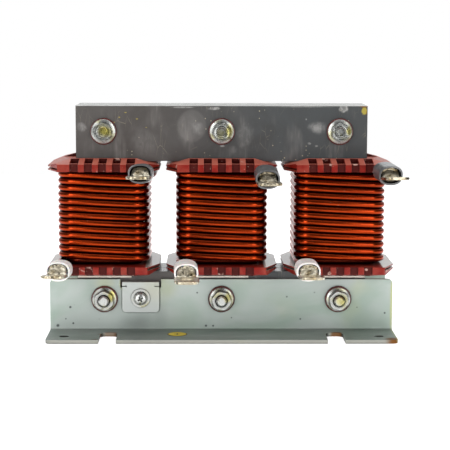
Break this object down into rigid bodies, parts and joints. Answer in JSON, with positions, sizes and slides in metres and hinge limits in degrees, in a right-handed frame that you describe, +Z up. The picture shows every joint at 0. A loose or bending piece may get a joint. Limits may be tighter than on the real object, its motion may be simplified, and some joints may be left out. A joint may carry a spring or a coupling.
{
  "type": "three-phase motor choke",
  "caption": "Open iron-core choke: wire-wound coils on a laminated core, clamped between two angle brackets with slotted feet, with cable lugs and an earth screw at the front.",
  "frame": {"origin": "centre of the four foot holes, on the mounting plane under the feet", "axes": "+Z up from the mounting plane, +X to the right along the row of coils, -Y towards the lugs and the earth screw"},
  "size_m": [0.2579, 0.1566, 0.1698],
  "materials": {
    "core_steel": "varnished lamination stack",
    "white_board": "pressed insulating board",
    "bobbin_resin": "varnished moulded resin",
    "enamelled_copper": "glossy enamelled wire",
    "tinned_copper": "tinned",
    "black_sleeve": "heat-shrink tube",
    "white_sleeve": "milky heat-shrink tube",
    "zinc_bracket": "zinc plated sheet",
    "zinc_fastener": "bright zinc",
    "fibre": "vulcanised fibre",
    "zinc_tab": "zinc plated sheet",
    "marker": "adhesive paper"
  },
  "bodies": {
    "root": {"e_core": "core_steel", "yoke_bar": "core_steel", "gap_boards": "white_board", "front_leg_boards": "white_board", "rear_leg_boards": "white_board", "left_tube": "bobbin_resin", "left_top_flange": "bobbin_resin", "left_bottom_flange": "bobbin_resin", "left_inner_winding": "enamelled_copper", "left_winding": "enamelled_copper", "left_upper_lug": "tinned_copper", "left_upper_sleeve": "black_sleeve", "left_lower_lug": "tinned_copper", "left_lower_sleeve": "white_sleeve", "middle_tube": "bobbin_resin", "middle_top_flange": "bobbin_resin", "middle_bottom_flange": "bobbin_resin", "middle_inner_winding": "enamelled_copper", "middle_winding": "enamelled_copper", "middle_upper_lug": "tinned_copper", "middle_upper_sleeve": "black_sleeve", "middle_lower_lug": "tinned_copper", "middle_lower_sleeve": "white_sleeve", "right_tube": "bobbin_resin", "right_top_flange": "bobbin_resin", "right_bottom_flange": "bobbin_resin", "right_inner_winding": "enamelled_copper", "right_winding": "enamelled_copper", "right_upper_lug": "tinned_copper", "right_upper_sleeve": "black_sleeve", "right_lower_lug": "tinned_copper", "right_lower_sleeve": "white_sleeve", "front_bracket": "zinc_bracket", "rear_bracket": "zinc_bracket", "upper_bolts": "zinc_fastener", "upper_nuts": "zinc_fastener", "upper_fibre_washers": "fibre", "upper_bolt_liners": "white_board", "lower_bolts": "zinc_fastener", "lower_nuts": "zinc_fastener", "lower_fibre_washers": "fibre", "lower_bolt_liners": "white_board", "earth_tab": "zinc_tab", "earth_screw": "zinc_fastener", "earth_spring_washer": "zinc_fastener", "earth_flat_washer": "zinc_fastener", "marker_dot": "marker"}
  },
  "joints": []
}
